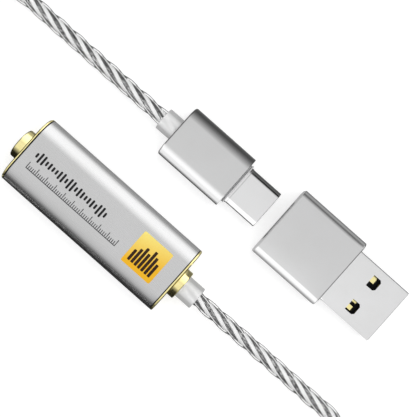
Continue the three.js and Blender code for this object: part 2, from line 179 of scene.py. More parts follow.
def aluminium(name, level, rough, grain):
    """Satin aluminium: a fine blasted grain, faint drawing lines along X and soft cloudy patches."""
    paint = Paint(name, Metallic=1.0)
    cloud = paint.noise(90, (1, 1.4, 1.4), 3.0)
    lines = paint.noise(3400, (0.05, 1, 1), 3.0)
    grains = paint.noise(9000, detail=2.0)
    paint.feed("Base Color", paint.blend(
        paint.spread(cloud, 0, 1), grey(level - 0.012), (level + 0.012, level + 0.012, level + 0.016, 1),
    ))
    paint.feed("Roughness", paint.spread(lines, rough - 0.02, rough + 0.02))
    mixed = paint.node("Math", [(0, lines), (1, grains)], operation="ADD").outputs[0]
    paint.bump(mixed, grain)
    return paint.material


def gold(name, rough):
    """Bright pale gold plating: fine lines round the X axis and a slight warm variation."""
    paint = Paint(name, Metallic=1.0)
    cloud = paint.noise(260, detail=3.0)
    lines = paint.noise(5200, (1, 0.05, 0.05), 2.0)
    paint.feed("Base Color", paint.blend(
        paint.spread(cloud, 0, 1), (0.94, 0.82, 0.37, 1), (0.98, 0.89, 0.46, 1),
    ))
    paint.feed("Roughness", paint.spread(lines, rough - 0.03, rough + 0.05))
    paint.bump(lines, 1.2 * MICRON)
    return paint.material


def plated_steel(name):
    """Nickel-plated sheet, drawn along X, with faint handling haze."""
    paint = Paint(name, Metallic=1.0)
    haze = paint.noise(160, detail=4.0)
    lines = paint.noise(4200, (0.02, 1, 1), 3.0)
    paint.feed("Base Color", paint.blend(paint.spread(haze, 0, 1), grey(0.73), (0.76, 0.76, 0.765, 1)))
    paint.feed("Roughness", paint.spread(lines, 0.13, 0.20))
    paint.bump(lines, 0.6 * MICRON)
    return paint.material


def moulded(name, color, rough, grain, depth=4 * MICRON, **sockets):
    """Moulded plastic: a fine spark-eroded grain and a slightly uneven tone."""
    paint = Paint(name, **sockets)
    tone = paint.noise(350, detail=3.0)
    speck = paint.noise(grain, detail=2.0)
    lighter = tuple(min(1.0, 1.25 * c + 0.004) for c in color)
    paint.feed("Base Color", paint.blend(paint.spread(tone, 0, 1), (*color, 1), (*lighter, 1)))
    paint.feed("Roughness", paint.spread(speck, rough - 0.06, rough + 0.08))
    paint.bump(speck, depth)
    return paint.material


def printed(name, color, rough, grain):
    """A flat film of ink."""
    return moulded(name, color, rough, grain, MICRON, Specular_IOR_Level=0.15)


def milky_with_painted_glow(name):
    """A clear tube gone slightly milky, lifted by a painted white glow: pale over the wires, with painted
    shade that greys it where its wall is seen edge on.
    """
    # The white emission is a painted glow: the sleeve is no lamp.
    paint = Paint(name, IOR=1.45, Emission_Strength=0.2)
    paint.shader.inputs["Emission Color"].default_value = grey(1.0)
    wave = paint.noise(420, (0.4, 1, 1), 3.0)
    # Painted shade: this ramp greys the tube's colour towards its edges.
    wall = paint.facing([(0.0, 0.88), (0.06, 0.98), (0.14, 0.86), (0.30, 0.30), (0.6, 0.26), (1.0, 0.4)])
    paint.feed("Base Color", paint.blend(paint.spread(wave, 0.0, 0.12), wall, (0.50, 0.51, 0.53, 1)))
    paint.feed("Roughness", paint.spread(wave, 0.12, 0.2))
    paint.feed("Alpha", paint.facing([(0.0, 0.46), (0.14, 0.55), (0.30, 0.80), (1.0, 0.85)]))
    paint.bump(wave, 3 * MICRON)
    return paint.material


def insulation(name):
    """Clear insulation: nearly unseen over the wires, with a fine dark line of painted shade where it is
    seen edge on.
    """
    paint = Paint(name, IOR=1.42, Specular_IOR_Level=0.25)
    streak = paint.noise(1500, (0.25, 1, 1), 2.0)
    # Painted shade: this ramp turns the colour near-black where the skin is seen edge on.
    edge = paint.facing([(0.0, 0.94), (0.54, 0.90), (0.64, 0.05), (1.0, 0.03)])
    paint.feed("Base Color", paint.blend(paint.spread(streak, 0, 0.10), edge, grey(0.62)))
    paint.feed("Roughness", paint.spread(streak, 0.06, 0.14))
    seen = paint.facing([(0.0, 0.02), (0.54, 0.03), (0.62, 0.45), (0.70, 0.80), (1.0, 0.90)])
    paint.feed("Alpha", seen)
    paint.bump(streak, 4 * MICRON)
    return paint.material


def litz(name):
    """Fine silver-plated strands: bright streaks across a grey bundle."""
    paint = Paint(name, Metallic=1.0)
    streak = paint.noise(3000, (0.35, 1, 1), 4.0, 0.75)
    paint.feed("Base Color", paint.blend(paint.spread(streak, 0, 1, 0.42, 0.68), grey(0.03), grey(0.74)))
    paint.feed("Roughness", paint.spread(streak, 0.22, 0.42))
    paint.bump(streak, 30 * MICRON)
    return paint.material


def board(name):
    """Green solder mask with faint traces under it."""
    paint = Paint(name, Coat_Weight=0.4, Coat_Roughness=0.15)
    traces = paint.node("TexBrick", [("Vector", paint.place()), ("Scale", 420.0), ("Mortar Size", 0.04)])
    traces.inputs["Color1"].default_value = (0.010, 0.080, 0.035, 1)
    traces.inputs["Color2"].default_value = (0.012, 0.095, 0.042, 1)
    traces.inputs["Mortar"].default_value = (0.030, 0.190, 0.085, 1)
    paint.feed("Base Color", traces.outputs["Color"])
    paint.feed("Roughness", paint.spread(paint.noise(4000), 0.35, 0.5))
    paint.bump(traces.outputs["Fac"], 10 * MICRON)
    return paint.material


def label(name):
    """Printed amber film, with a painted highlight that makes it paler towards its -X, +Y corner."""
    paint = Paint(name, Roughness=0.35, Specular_IOR_Level=0.2)
    split = paint.node("SeparateXYZ", [("Vector", paint.place((-0.35, 1, 1)))]).outputs
    corner = paint.node("Math", [(0, split["X"]), (1, split["Y"])], operation="ADD").outputs[0]
    painted_highlight_share = paint.spread(corner, 0, 1, -6.0 * MM, 0.6 * MM)
    fibre = paint.noise(3000, detail=2.0)
    # The pale amber towards the -X, +Y corner is a painted highlight.
    base = paint.blend(painted_highlight_share, (0.90, 0.48, 0.012, 1), (1.0, 0.86, 0.24, 1))
    paint.feed("Base Color", paint.blend(paint.spread(fibre, 0, 0.12), base, (0.85, 0.50, 0.06, 1)))
    paint.bump(fibre, 1.5 * MICRON)
    return paint.material


SATIN = aluminium("satin_aluminium", 0.585, 0.27, 0.5 * MICRON)
POLISHED = aluminium("polished_aluminium", 0.615, 0.23, 0.4 * MICRON)
GOLD = gold("gold_plate", 0.14)
CONTACT = gold("contact_gold", 0.17)
STEEL = plated_steel("steel_shell")
BLACK = moulded("black_plastic", (0.006, 0.006, 0.0065), 0.42, 7000, Specular_IOR_Level=0.1)
COLLAR_GREY = moulded("collar_plastic", (0.58, 0.58, 0.585), 0.28, 6000)
CLEAR_SLEEVE = milky_with_painted_glow("clear_sleeve")
CLEAR_SKIN = insulation("clear_insulation")
# White for the filler down the middle and for the strips in the creases, which are painted highlight bands.
FILLER_AND_HIGHLIGHT_WHITE = moulded("white_filler_and_highlight", (0.97, 0.97, 0.97), 0.35, 2600, 3 * MICRON)
LITZ = litz("litz_silver")
BOARD = board("board_green")
CHIP = moulded("chip_black", (0.016, 0.0165, 0.018), 0.5, 5200)
CAN = plated_steel("can_metal")
TANTALUM = moulded("tantalum", (0.62, 0.38, 0.06), 0.45, 5200)
AMBER = label("label_amber")
BAR_INK = printed("label_band", (0.028, 0.011, 0.004), 0.35, 3000)
INK = printed("print_ink", (0.008, 0.008, 0.009), 0.42, 4200)
GREY_INK = printed("print_ink_grey", (0.050, 0.050, 0.054), 0.45, 4200)
CORE_COLORS = {
    "red": (0.42, 0.03, 0.02), "white": (0.78, 0.78, 0.75),
    "green": (0.02, 0.20, 0.07), "black": (0.015, 0.015, 0.015),
}
CORE_SKINS = {
    f"core_tail_{i}": moulded(f"core_{hue}", color, 0.4, 4200)
    for i, (hue, color) in enumerate(CORE_COLORS.items(), 1)
}

# ------------ mesh helpers


def closed_mesh(name, verts, faces):
    """A mesh from vertices in millimetres, with its faces turned outwards."""
    mesh = bpy.data.meshes.new(name)
    mesh.from_pydata([Vector(v) * MM for v in verts], [], faces)
    shape = bmesh.new()
    shape.from_mesh(mesh)
    bmesh.ops.recalc_face_normals(shape, faces=shape.faces)
    shape.to_mesh(mesh)
    shape.free()
    return mesh


def placed(name, data):
    made = bpy.data.objects.new(name, data)
    bpy.context.scene.collection.objects.link(made)
    return made


def soften(made, angle):
    """Smooth shading, with edges sharper than angle kept crisp."""
    made.data.shade_smooth()
    made.data.set_sharp_from_angle(angle=math.radians(angle))
    even = made.modifiers.new("even_normals", "WEIGHTED_NORMAL")
    even.keep_sharp = True


def piece(name, verts, faces, material, body, slot, replaced=(), smooth=SMOOTH_BELOW):
    """A closed mesh in millimetres, made into a piece that rides on a CAD body."""
    made = placed(name, closed_mesh(name, verts, faces))
    made.data.materials.append(material)
    soften(made, smooth)
    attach(made, body)
    if replaced:
        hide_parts(*replaced)
    return made


def rounded(width, height, radius, steps=ARC_STEPS):
    """A rounded rectangle about the origin, as (across, up) pairs."""
    radius = max(0.01, min(radius, width / 2 - 0.001, height / 2 - 0.001))
    points = []
    for quarter, (side, level) in enumerate([(1, 1), (-1, 1), (-1, -1), (1, -1)]):
        for i in range(steps + 1):
            angle = math.pi / 2 * (quarter + i / steps)
            points.append((
                side * (width / 2 - radius) + radius * math.cos(angle),
                level * (height / 2 - radius) + radius * math.sin(angle),
            ))
    return points


def shrunk(size, inset, steps=ARC_STEPS):
    """The outline of a (width, height, corner) size, drawn in by inset all round."""
    width, height, corner = size
    return rounded(width - 2 * inset, height - 2 * inset, corner - inset, steps)


def stadium(width, height):
    """An outline with half-round ends."""
    return rounded(width, height, height / 2)


def grown(size, gap):
    """A stadium larger than size by gap all round, or smaller where gap is negative."""
    return stadium(size[0] + 2 * gap, size[1] + 2 * gap)


def round_like(outline, radius):
    """A circle with one point for each of the outline's, in the same direction."""
    angles = [math.atan2(up, across) for across, up in outline]
    return [(radius * math.cos(a), radius * math.sin(a)) for a in angles]


def ring(x, outline, y, z):
    return [(x, y + across, z + up) for across, up in outline]


def skin(rings, closed):
    """Vertices and faces through rings of as many points each. closed joins the last ring to the first;
    otherwise both ends are capped."""
    count = len(rings[0])
    verts = [point for line in rings for point in line]
    faces = []
    for k in range(len(rings) if closed else len(rings) - 1):
        here, there = k * count, (k + 1) % len(rings) * count
        for i in range(count):
            j = (i + 1) % count
            faces.append((here + i, here + j, there + j, there + i))
    if not closed:
        faces.append(tuple(range(count)))
        faces.append(tuple(range(len(verts) - count, len(verts))))
    return verts, faces


def fillet(radius, steps):
    """(along, inset) pairs that round an end edge, from the end face inwards."""
    turns = [math.pi / 2 * i / steps for i in range(steps + 1)]
    return [(radius * (1 - math.sin(a)), radius * (1 - math.cos(a))) for a in reversed(turns)]


def ended(x, direction, size, edge, steps, arc_steps=ARC_STEPS):
    """(x, outline) pairs that round a body's end at x, from the end face inwards. direction points into
    the body."""
    return [(x + direction * along, shrunk(size, inset, arc_steps)) for along, inset in fillet(edge, steps)]


def hollow(lines, y, z):
    """A solid with a hole through it, from (x, outline) pairs: along its outside, then back inside."""
    return skin([ring(x, outline, y, z) for x, outline in lines], closed=True)


def prism(x0, x1, outline, y, z):
    return skin([ring(x0, outline, y, z), ring(x1, outline, y, z)], closed=False)


def merged(*shapes):
    """One list of vertices and one of faces from several."""
    verts, faces = [], []
    for more_verts, more_faces in shapes:
        start = len(verts)
        verts += more_verts
        faces += [tuple(start + i for i in face) for face in more_faces]
    return verts, faces


def turned(profile, y, z):
    """A closed profile of (radius, x) pairs turned about an axis along X."""
    angles = [2 * math.pi * i / ROUND_STEPS for i in range(ROUND_STEPS)]
    rings = []
    for radius, x in profile:
        rings.append([(x, y + radius * math.cos(a), z + radius * math.sin(a)) for a in angles])
    return skin(rings, closed=True)


def slab(x0, x1, y0, y1, z0, z1, edge=0.03):
    """A block with small rounded edges."""
    edge = min(edge, (y1 - y0) / 4, (z1 - z0) / 4, (x1 - x0) / 4)
    size = (y1 - y0, z1 - z0, edge)
    lines = ended(x0, 1, size, edge, 2, 2)
    lines += reversed(ended(x1, -1, size, edge, 2, 2))
    return skin([ring(x, outline, (y0 + y1) / 2, (z0 + z1) / 2) for x, outline in lines], closed=False)


# ------------ cable

# The cable's centre line in metres, from the gland round to the plug: part.mjs's own points.
CABLE_ROUTE = [
    (0.02075, 0.0, 0.0045),
    (0.0283, 0.0, 0.0039),
    (0.0360, 0.0, 0.0024),
    (0.0433, 0.0, 0.0017),
    (0.0489, 0.0, 0.0016),
    (0.0537, 0.0, 0.0016),
    (0.0585, 0.0, 0.0016),
    (0.0619, -0.0009, 0.0016),
    (0.0645, -0.0034, 0.0016),
    (0.0655, -0.0068, 0.0016),
    (0.0647, -0.0103, 0.0016),
    (0.0623, -0.0129, 0.0016),
    (0.0573, -0.0162, 0.0016),
    (0.0461, -0.0234, 0.0016),
    (0.0349, -0.0306, 0.0016),
    (0.0237, -0.0378, 0.0016),
    (0.0189, -0.0409, 0.0016),
    (0.0152, -0.0433, 0.0016),
    (0.0113, -0.0448, 0.0016),
    (0.0072, -0.0446, 0.0016),
    (0.0035, -0.0427, 0.0016),
    (0.0006, -0.0395, 0.0016),
    (-0.0029, -0.0352, 0.0016),
    (-0.0077, -0.0299, 0.0016),
    (-0.0155, -0.0214, 0.0016),
    (-0.0233, -0.0128, 0.0016),
    (-0.0310, -0.0043, 0.0016),
    (-0.0388, 0.0042, 0.0016),
    (-0.0439, 0.0098, 0.0016),
    (-0.0454, 0.0126, 0.0016),
    (-0.0456, 0.0158, 0.0016),
    (-0.0443, 0.0187, 0.0016),
    (-0.0418, 0.0208, 0.0016),
    (-0.0387, 0.0215, 0.0016),
    (-0.0340, 0.0215, 0.0016),
    (-0.0290, 0.0215, 0.0016),
    (-0.0241, 0.0215, 0.0016),
    (-0.0166, 0.0215, 0.0022),
    (-0.0089, 0.0215, 0.0033),
    (-0.0004, 0.0215, 0.0035),
]
CABLE_STEP = 0.35
ROUTE_STEPS = 24

# The section, in millimetres from the cable's middle.
STRANDS = 4
CREST = 1.55
CREASE = 1.23
SKIN_POINTS = 32
SKIN_SHARES = (1, 0.97, 0.76, 0.74)
CORE_PLACE = 0.80
CORE_HALF = (0.20, 0.46)
CORE_LOBES = 11
CORE_DIP = 0.86
CORE_LAY = 3.4
# The strips in the creases paint the bright highlight bands. MIDDLE_HALF is the filler down the middle.
HIGHLIGHT_STRIP_PLACE = 1.02
HIGHLIGHT_STRIP_HALF = (0.18, 0.42)
MIDDLE_HALF = (0.42, 0.42)
OVAL_POINTS = 10
# Where strands come to the top: the first after the gland, the last before the plug, and how far apart
# they are near the gland, near the plug and on the whole.
FIRST_TOP = 11.05
LAST_TOP = 26.05
GLAND_LAY = 4.385
GLAND_TOPS = 7
PLUG_LAY = 4.457
PLUG_TOPS = 4
TWIST_LAY = 4.42


def smooth_route(points, step):
    """The route as a Catmull-Rom curve, in millimetres, with points about step apart, and how far along
    each one is."""
    fixed = [Vector(p) / MM for p in points]
    fixed = [2 * fixed[0] - fixed[1], *fixed, 2 * fixed[-1] - fixed[-2]]
    fine = []
    for before, start, end, after in zip(fixed, fixed[1:], fixed[2:], fixed[3:]):
        for i in range(ROUTE_STEPS):
            t = i / ROUTE_STEPS
            fine.append(0.5 * (
                2 * start + (end - before) * t + (2 * before - 5 * start + 4 * end - after) * t ** 2
                + (3 * start - before - 3 * end + after) * t ** 3
            ))
    fine.append(fixed[-2])
    along = [0.0]
    for start, end in zip(fine, fine[1:]):
        along.append(along[-1] + (end - start).length)
    count = round(along[-1] / step)
    places, line, k = [], [], 0
    for i in range(count + 1):
        at = along[-1] * i / count
        while k < len(fine) - 2 and along[k + 1] < at:
            k += 1
        share = (at - along[k]) / (along[k + 1] - along[k])
        line.append(fine[k].lerp(fine[k + 1], min(1.0, share)))
        places.append(at)
    return line, places


def sideways(line):
    """At each point, the level direction to the left of the route, and the one above it."""
    pairs = []
    for i in range(len(line)):
        ahead = (line[min(i + 1, len(line) - 1)] - line[max(i - 1, 0)]).normalized()
        left = Vector((0, 0, 1)).cross(ahead).normalized()
        pairs.append((left, ahead.cross(left)))
    return pairs


def strands_passed(at, whole):
    """How many strands have come to the top between the first place and this one along the cable. At a
    whole number, one is on top."""
    last = whole - LAST_TOP
    total = round((last - FIRST_TOP) / TWIST_LAY)
    marks = [
        (FIRST_TOP, 0), (FIRST_TOP + GLAND_TOPS * GLAND_LAY, GLAND_TOPS),
        (last - PLUG_TOPS * PLUG_LAY, total - PLUG_TOPS), (last, total),
    ]
    for (start, low), (end, high) in zip(marks, marks[1:]):
        if at <= end or high == total:
            return low + (high - low) * (at - start) / (end - start)


def skin_outline(share):
    """The four strands' outer section: a crest over each strand and a soft crease between two."""
    points = []
    for i in range(SKIN_POINTS):
        turn = 2 * math.pi * i / SKIN_POINTS
        reach = share * (CREASE + (CREST - CREASE) * math.cos(2 * turn) ** 2)
        points.append((reach * math.cos(turn), reach * math.sin(turn)))
    return points


def oval_outline(half):
    turns = [2 * math.pi * i / OVAL_POINTS for i in range(OVAL_POINTS)]
    return [(half[0] * math.cos(a), half[1] * math.sin(a)) for a in turns]


def core_outline(at):
    """A flattened bundle of fine wires, whose shallow lobes turn along the cable."""
    turn = 2 * math.pi * at / CORE_LAY
    points = []
    for i in range(2 * CORE_LOBES):
        angle = math.pi * i / CORE_LOBES + turn
        share = 1.0 if i % 2 else CORE_DIP
        points.append((CORE_HALF[0] * share * math.cos(angle), CORE_HALF[1] * share * math.sin(angle)))
    return points


def make_cable():
    """Four strands twisted together: an outer and an inner clear skin, a bundle of wire in each strand,
    a white filler down the middle, and white strips in the creases that paint the highlight bands."""
    line, places = smooth_route(CABLE_ROUTE, CABLE_STEP)
    axes = sideways(line)

    def along(strand, far, outline):
        """A tube far out from the middle, towards a strand. outline is a list of points, or gives one for a
        place along the cable."""
        rings = []
        for point, at, (left, over) in zip(line, places, axes):
            turn = 2 * math.pi / STRANDS * (strands_passed(at, places[-1]) + strand) + math.pi / 2
            out = left * math.cos(turn) + over * math.sin(turn)
            beside = over * math.cos(turn) - left * math.sin(turn)
            section = outline(at) if callable(outline) else outline
            rings.append([tuple(point + out * (far + u) + beside * v) for u, v in section])
        return skin(rings, closed=False)

    clear = [along(0, 0, skin_outline(share)) for share in SKIN_SHARES]
    wires = [along(i, CORE_PLACE, core_outline) for i in range(STRANDS)]
    crease_strips_and_middle_filler = [along(0, 0, oval_outline(MIDDLE_HALF))]
    # Painted highlight: white strips in the creases give the bright bands between the strands.
    crease_strips_and_middle_filler += [along(i + 0.5, HIGHLIGHT_STRIP_PLACE, oval_outline(HIGHLIGHT_STRIP_HALF)) for i in range(STRANDS)]
    strands = piece(
        "cable_strands", *merged(*clear), CLEAR_SKIN, "converter", "clear_insulation", ["cable"], 50,
    )
    cores = piece("cable_cores", *merged(*wires), LITZ, "converter", "litz_silver", smooth=60)
    filler_and_highlight_piece = piece("cable_highlight_strips_and_filler", *merged(*crease_strips_and_middle_filler), FILLER_AND_HIGHLIGHT_WHITE, "converter", "clear_insulation", smooth=60)
    return strands, [cores, filler_and_highlight_piece], [point * MM for point in line]


strands, cores, cable_line = make_cable()

# ------------ housing, end plates, jack and gland

HOUSING = (CASE_HIGH.y - CASE_LOW.y, CASE_HIGH.z - CASE_LOW.z, 3.7)
HOUSING_WALL = 0.9
CASE_EDGE = 0.10
PLATE_EDGE = 0.17
JACK_GROOVE = 0.24
SEAM = 0.13
SEAM_INSET = 0.02
SEAM_DEPTH = 0.6
SEAM_OVERLAP = 0.05
NECK_HOLE = 2.65
NECK_RADIUS = 2.5
NECK_DEPTH = 1.4
SHOULDER_GAP = 0.03
BROKEN_EDGE = 0.08
JACK_BORE = 1.8
BARREL_RADIUS = CASE_Z - BARREL_LOW.z
GLAND_RADIUS = GLAND_HIGH.z - CASE_Z
TUBE_OUTER = span("gland_sleeve")[1].z - CASE_Z
TUBE_INNER = 1.85
TUBE_LIP = 0.08


def make_case():
    x0, x1 = CASE_LOW.x, CASE_HIGH.x
    inner = shrunk(HOUSING, HOUSING_WALL)
    lines = ended(x0, 1, HOUSING, CASE_EDGE, 3)
    lines += reversed(ended(x1, -1, HOUSING, CASE_EDGE, 3))
    lines += [(x1, inner), (x0, inner)]
    shape = hollow(lines, 0, CASE_Z)
    piece("converter_case", *shape, SATIN, "converter", "satin_aluminium", ["housing_shell"])


def make_plate(name, node, side, groove):
    """A gold end plate with both rims chamfered. side is -1 at the jack and 1 at the cable. groove is the
    chamfer where it meets the housing."""
    inside, outside = side * CASE_HIGH.x, side * PLATE_OUT
    hole = round_like(rounded(*HOUSING), NECK_HOLE)
    lines = ended(inside, side, HOUSING, groove, 1)
    lines += reversed(ended(outside, -side, HOUSING, PLATE_EDGE, 1))
    lines += [(outside, hole), (inside, hole)]
    piece(name, *hollow(lines, 0, CASE_Z), GOLD, "converter", "gold_plate", [node])


def make_shadow_seam(name, side):
    """A thin black ring between the housing and an end plate: a painted shadow line in the joint."""
    outer, inner = shrunk(HOUSING, SEAM_INSET), shrunk(HOUSING, SEAM_DEPTH)
    near, far = side * (CASE_HIGH.x - SEAM_OVERLAP), side * (CASE_HIGH.x + SEAM)
    lines = [(near, outer), (far, outer), (far, inner), (near, inner)]
    piece(name, *hollow(lines, 0, CASE_Z), BLACK, "converter", "black_plastic")


def rim(radius, x, edge, direction, steps=5):
    """(radius, x) pairs that round a turned rim, from its side to its face. direction points out."""
    turns = [math.pi / 2 * i / steps for i in range(steps + 1)]
    return [
        (radius - edge * (1 - math.cos(a)), x - direction * edge * (1 - math.sin(a))) for a in turns
    ]


def necked(side, bore, outer):
    """Where a turned part's profile starts: its neck through an end plate, then the shoulder outside."""
    root, shoulder = side * (PLATE_OUT - NECK_DEPTH), side * (PLATE_OUT + SHOULDER_GAP)
    return [
        (bore, root), (NECK_RADIUS, root), (NECK_RADIUS, shoulder),
        (outer - BROKEN_EDGE, shoulder), (outer, shoulder + side * BROKEN_EDGE),
    ]


def make_barrel():
    """The jack's gold barrel, with a rounded rim and a lead-in to its bore."""
    mouth, lead_in = BARREL_LOW.x, 0.28
    profile = necked(-1, JACK_BORE, BARREL_RADIUS) + rim(BARREL_RADIUS, mouth, 0.32, -1)
    profile += [
        (JACK_BORE + lead_in, mouth), (JACK_BORE + 0.06, mouth + lead_in - 0.06),
        (JACK_BORE, mouth + lead_in + 0.1),
    ]
    piece("jack_ring", *turned(profile, 0, CASE_Z), GOLD, "converter", "gold_plate", ["jack_barrel"])


def make_gland():
    """The gold gland, with a shallow step round the sleeve."""
    face, step = GLAND_HIGH.x, GLAND_HIGH.x - 0.08
    profile = necked(1, TUBE_INNER, GLAND_RADIUS) + rim(GLAND_RADIUS, face, 0.22, 1)
    profile += [(TUBE_OUTER + 0.12, face), (TUBE_OUTER + 0.04, step), (TUBE_INNER, step)]
    piece("gland_ring", *turned(profile, 0, CASE_Z), GOLD, "converter", "gold_plate", ["cable_gland"])


def make_tube(name, node, x0, x1, y, z):
    """A clear sleeve with softened lips."""
    profile = [(TUBE_INNER + TUBE_LIP, x0), *reversed(rim(TUBE_OUTER, x0, TUBE_LIP, -1, 3))]
    profile += [*rim(TUBE_OUTER, x1, TUBE_LIP, 1, 3), (TUBE_INNER + TUBE_LIP, x1)]
    profile += [(TUBE_INNER, x1 - TUBE_LIP), (TUBE_INNER, x0 + TUBE_LIP)]
    return piece(name, *turned(profile, y, z), CLEAR_SLEEVE, "converter", "clear_sleeve", [node])


make_case()
make_plate("jack_plate", "jack_end_plate", -1, JACK_GROOVE)
make_plate("cable_plate", "cable_end_plate", 1, PLATE_EDGE)
# Black rings in the joints paint the shadow line between the housing and each end plate.
make_shadow_seam("jack_shadow_seam", -1)
make_shadow_seam("cable_shadow_seam", 1)
make_barrel()
make_gland()
gland_low, gland_high = span("gland_sleeve")
make_tube("gland_tube", "gland_sleeve", gland_low.x - 0.05, gland_high.x, 0, CASE_Z)
sleeve_low, sleeve_high = span("plug_sleeve")
plug_tube = make_tube("plug_tube", "plug_sleeve", sleeve_low.x, sleeve_high.x - 0.02, PLUG_Y, PLUG_Z)

# ------------ label and printed marks

INK_THICK = 0.014
INK_DIP = 0.002
INK_STEP = 0.001
WAVE = {"x0": -16.3, "x1": 0.5, "middle": 0.55, "pitch": 0.80, "bar": 0.44, "half": 1.22}
SCALE = {"x0": -16.3, "x1": 5.7, "base": -2.62, "pitch": 0.44, "tick": 0.16, "long": 1.45, "short": 0.85}
LABEL = {"corner": 0.3, "edge": 0.02, "margin": 0.65, "foot": 0.9, "bar": 0.58, "bar_corner": 0.12}
LABEL_BARS = (2.4, 3.2, 4.1, 3.4, 4.6, 3.8, 2.9)


def level_ring(outline, middle, z):
    return [(middle[0] + across, middle[1] + up, z) for across, up in outline]


def ink_mark(x0, x1, y0, y1, level, corner=0.05):
    """A flat printed shape with rounded corners, standing INK_THICK proud of a surface."""
    outline = rounded(x1 - x0, y1 - y0, corner, 3)
    middle = ((x0 + x1) / 2, (y0 + y1) / 2)
    return skin([level_ring(outline, middle, z) for z in (level - INK_DIP, level + INK_THICK)], closed=False)


def make_prints():
    """A waveform of rounded bars and a ruler of fine ticks, where the housing carries its printing."""
    bar, middle = WAVE["bar"], WAVE["middle"]
    bars = []
    for i in range(round((WAVE["x1"] - WAVE["x0"]) / WAVE["pitch"]) + 1):
        x = WAVE["x0"] + i * WAVE["pitch"]
        tall = WAVE["half"] * (0.42 + 0.58 * abs(math.sin(1.05 * i) * math.cos(0.31 * i)))
        bars.append(ink_mark(x, x + bar, middle - tall, middle + tall, CASE_TOP, bar / 2))
    piece("print_wave", *merged(*bars), INK, "converter", "print_ink")
    base, tick = SCALE["base"], SCALE["tick"]
    ticks = [ink_mark(SCALE["x0"], SCALE["x1"], base, base + tick, CASE_TOP)]
    for i in range(round((SCALE["x1"] - SCALE["x0"] - tick) / SCALE["pitch"]) + 1):
        x = SCALE["x0"] + i * SCALE["pitch"]
        tall = SCALE["long"] if i % 5 == 0 else SCALE["short"]
        ticks.append(ink_mark(x, x + tick, base, base + tall, CASE_TOP + INK_STEP))
    piece("print_scale", *merged(*ticks), GREY_INK, "converter", "print_ink")


def make_label():
    """A plain amber square with a row of level bars."""
    low, high = span("badge_label")
    size = (high.x - low.x, high.y - low.y, LABEL["corner"])
    middle = ((low.x + high.x) / 2, (low.y + high.y) / 2)
    edge = LABEL["edge"]
    rings = [
        level_ring(shrunk(size, inset, 4), middle, z)
        for z, inset in ((low.z, 0), (high.z - edge, 0), (high.z, edge))
    ]
    piece("badge_film", *skin(rings, closed=False), AMBER, "converter", "label_amber", ["badge_label"])
    pitch = (size[0] - 2 * LABEL["margin"]) / len(LABEL_BARS)
    foot, half = low.y + LABEL["foot"], LABEL["bar"] / 2
    marks = []
    for i, tall in enumerate(LABEL_BARS):
        x = low.x + LABEL["margin"] + (i + 0.5) * pitch
        marks.append(ink_mark(x - half, x + half, foot, foot + tall, high.z, LABEL["bar_corner"]))
    piece("badge_marks", *merged(*marks), BAR_INK, "converter", "label_amber")


make_prints()
make_label()

# ------------ USB-C plug

PLUG = (PLUG_HIGH.y - PLUG_LOW.y, PLUG_HIGH.z - PLUG_LOW.z, 2.5)
PLUG_WALL = 0.65
PLUG_BACK = 1.2
BACK_ROUND = 0.45
FRONT_ROUND = 0.16
COLLAR = (9.1, 5.4, 1.6)
COLLAR_ROOT = (8.9, 4.0, 1.6)
COLLAR_HOLE = (8.55, 2.7)
COLLAR_GAP = 0.34
C_SHELL = (8.25, 2.4)
C_FOOT = (8.39, 2.54)
C_REACH = 7.0
C_WALL = 0.25
C_FLARE = 0.08
C_LIP = 0.13
INSERT = (7.4, 1.6)
LINER = {"half": 3.2, "near": 0.86, "far": 0.935}
FINGERS = 12
FINGER_PITCH = 0.5
FINGER_HALF = 0.125
FINGER_DIP = 0.10


def make_plug_case():
    x0, x1 = PLUG_LOW.x, PLUG_HIGH.x
    hole = round_like(rounded(*PLUG), TUBE_INNER)
    cavity = shrunk(PLUG, PLUG_WALL)
    lines = ended(x0, 1, PLUG, BACK_ROUND, 6)
    lines += reversed(ended(x1, -1, PLUG, FRONT_ROUND, 3))
    lines += [(x1, cavity), (x0 + PLUG_BACK, cavity), (x0 + PLUG_BACK, hole), (x0, hole)]
    shape = hollow(lines, PLUG_Y, PLUG_Z)
    return piece("plug_case", *shape, POLISHED, "converter", "polished_aluminium", ["c_plug_housing"])


def make_collar():
    """The grey collar round the shell, with a shadow gap behind it where it leaves the housing."""
    low, high = span("c_plug_collar")
    gap = PLUG_HIGH.x + COLLAR_GAP
    root, hole = rounded(*COLLAR_ROOT), stadium(*COLLAR_HOLE)
    lines = [(low.x, root), (gap, root), (gap, rounded(*COLLAR))]
    lines += reversed(ended(high.x, -1, COLLAR, 0.2, 3))
    lines += [(high.x, hole), (low.x, hole)]
    shape = hollow(lines, PLUG_Y, PLUG_Z)
    return piece("plug_collar", *shape, COLLAR_GREY, "converter", "collar_plastic", ["c_plug_collar"])


def make_plug_shell():
    """The round-ended steel shell: a thicker foot at the collar, a rolled lip at the tip."""
    low, high = span("c_plug_shell")
    foot = high.x - C_REACH
    inside, flared = grown(C_SHELL, -C_WALL), grown(C_SHELL, C_FLARE - C_WALL)
    lines = [(low.x, stadium(*C_FOOT)), (foot, stadium(*C_FOOT)), (foot + 0.06, stadium(*C_SHELL))]
    lines += reversed(ended(high.x, -1, (*C_SHELL, C_SHELL[1] / 2), C_LIP, 4))
    lines += [(high.x, flared), (high.x - 0.15, inside), (low.x, inside)]
    shape = hollow(lines, PLUG_Y, PLUG_Z)
    return piece("plug_tip", *shape, STEEL, "converter", "steel_shell", ["c_plug_shell"])


